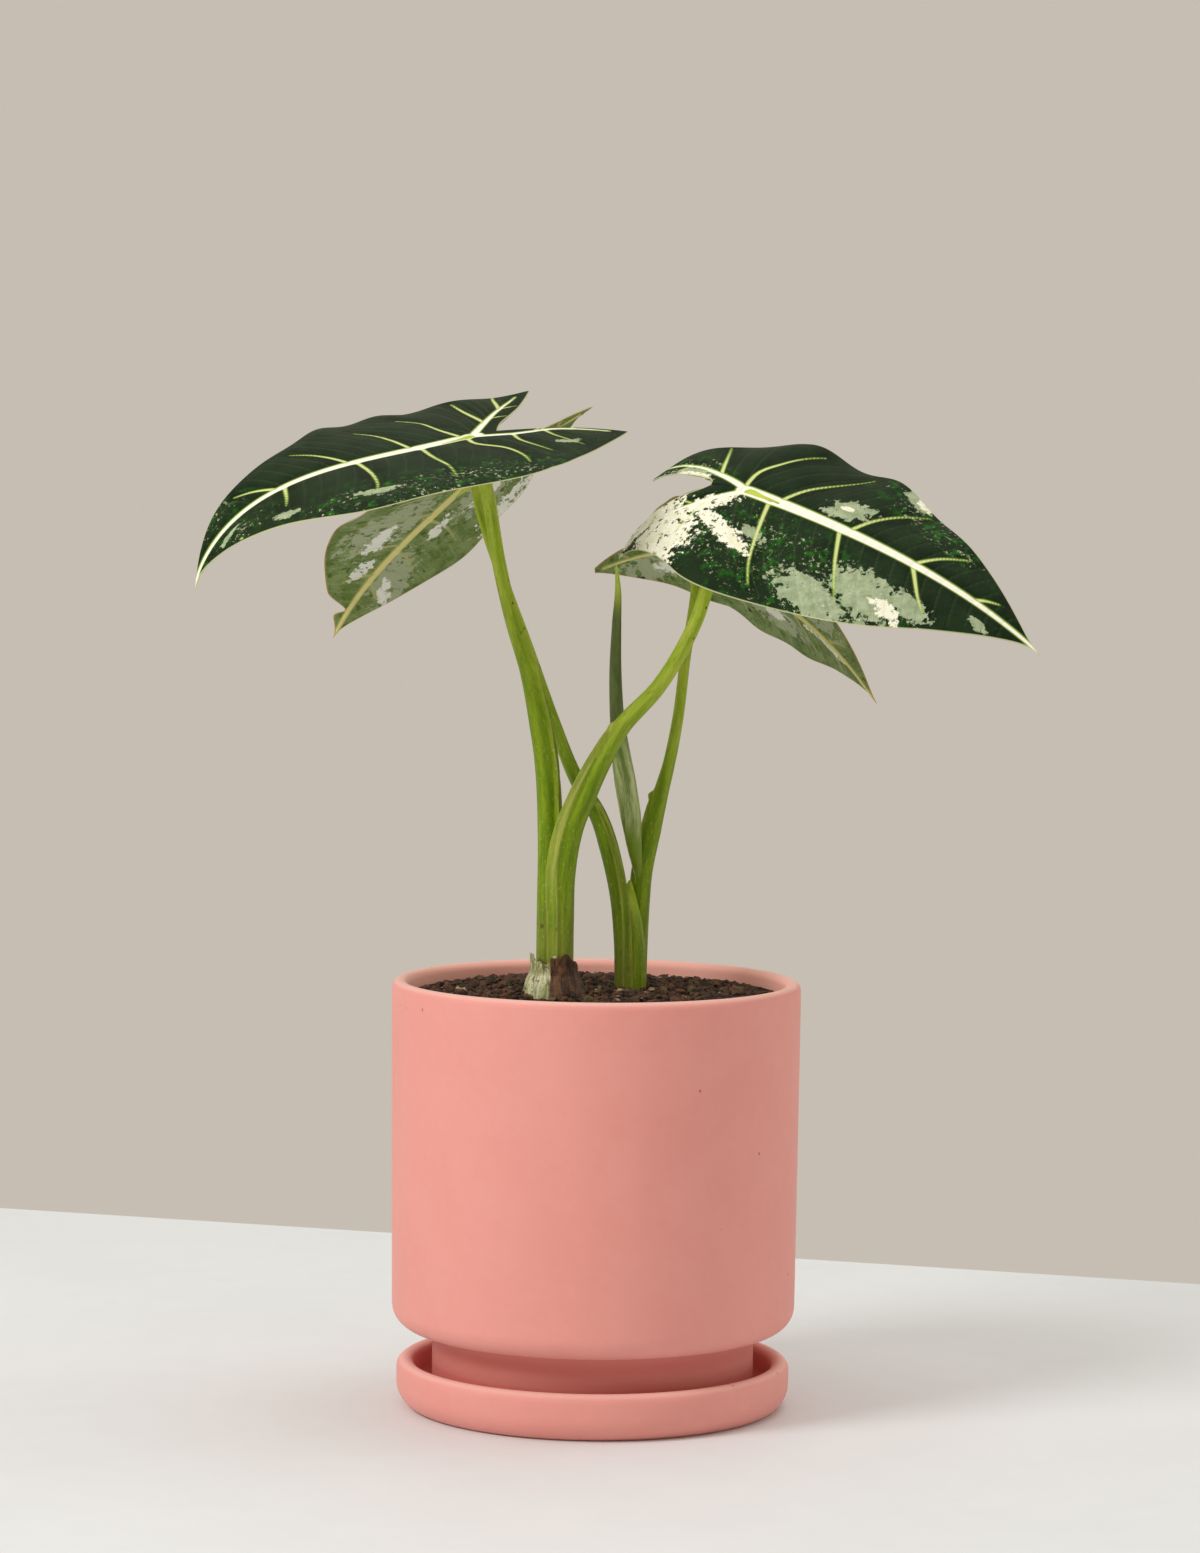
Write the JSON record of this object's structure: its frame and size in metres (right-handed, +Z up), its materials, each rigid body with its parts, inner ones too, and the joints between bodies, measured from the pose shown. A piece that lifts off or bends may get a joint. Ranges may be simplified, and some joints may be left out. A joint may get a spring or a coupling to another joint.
{
  "type": "potted alocasia",
  "caption": "Young variegated alocasia with dark arrow-shaped leaves on long green stems, in a matte salmon-pink cylinder pot standing in its own saucer.",
  "frame": {"origin": "middle of the saucer's flat underside, on the pot's axis", "axes": "+Z up along the pot's axis; -Y is the side the front leaves reach over; +X to the right when looking along +Y"},
  "size_m": [0.2763, 0.1679, 0.3474],
  "materials": {
    "pot_ceramic": "matte",
    "soil": "matte",
    "leaf_blade": "satin",
    "leaf_stem": "satin",
    "corm_bark": "matte",
    "dry_sheath": "matte"
  },
  "bodies": {
    "root": {"saucer": "pot_ceramic", "pot": "pot_ceramic", "soil": "soil", "corm_left": "corm_bark", "corm_right": "corm_bark", "papery_sheath": "dry_sheath", "brown_sheath": "dry_sheath", "stem_front_left": "leaf_stem", "stem_front_right": "leaf_stem", "stem_back_left": "leaf_stem", "stem_back_right": "leaf_stem", "blade_front_left": "leaf_blade", "blade_front_right": "leaf_blade", "blade_back_left": "leaf_blade", "blade_back_right": "leaf_blade", "spear_leaf": "leaf_blade"}
  },
  "joints": []
}
